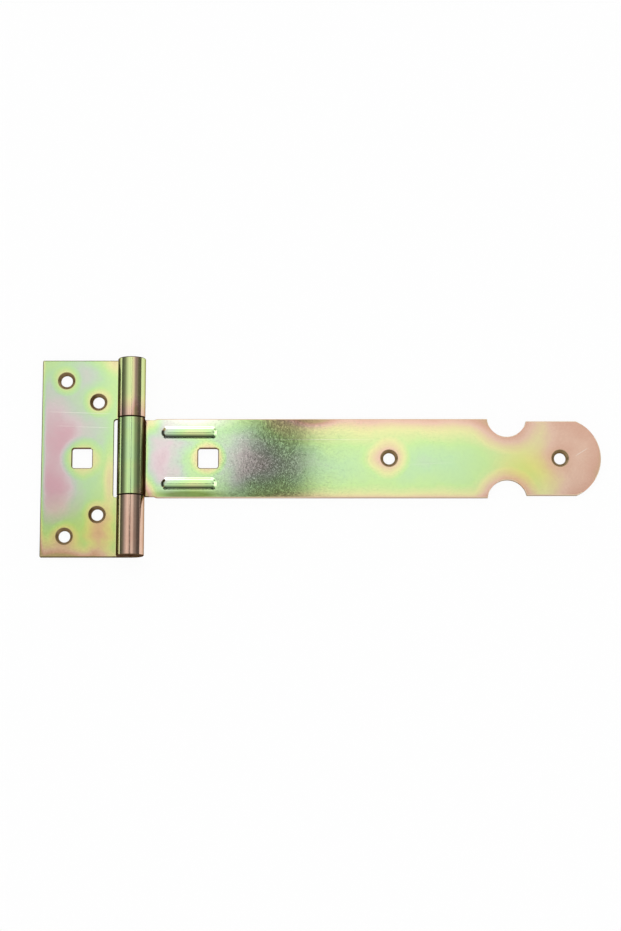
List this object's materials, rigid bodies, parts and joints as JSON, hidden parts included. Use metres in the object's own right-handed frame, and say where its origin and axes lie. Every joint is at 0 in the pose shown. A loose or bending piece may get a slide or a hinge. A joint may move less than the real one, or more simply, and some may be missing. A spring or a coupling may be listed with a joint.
{
  "type": "tee hinge",
  "caption": "Pressed-steel tee hinge: a slotted frame leaf and a long ribbed strap with rolled knuckles turn on a pin, to hang a gate or shed door from its frame.",
  "frame": {"origin": "on the plane of both sheets' backs, straight below the pin's axis at the middle of the barrel", "axes": "+X out along the strap, +Y along the pin, +Z from the backs of the sheets towards their fronts; the hinge lies open and flat on its back"},
  "size_m": [0.2848, 0.1014, 0.0141],
  "materials": {
    "leaf_zinc": "yellow passivated zinc plate, satin, iridescent",
    "strap_zinc": "yellow passivated zinc plate, satin, iridescent",
    "pin_zinc": "yellow passivated zinc plate, peened ends"
  },
  "bodies": {
    "leaf": {"frame_leaf": "leaf_zinc", "hinge_pin": "pin_zinc"},
    "strap": {"strap": "strap_zinc"}
  },
  "joints": [
    {"name": "strap_swing", "type": "hinge", "parent": "leaf", "child": "strap", "pos_m": [0, 0, 0.00705], "axis": [0, -1, 0], "range_deg": [-102, 188]}
  ]
}
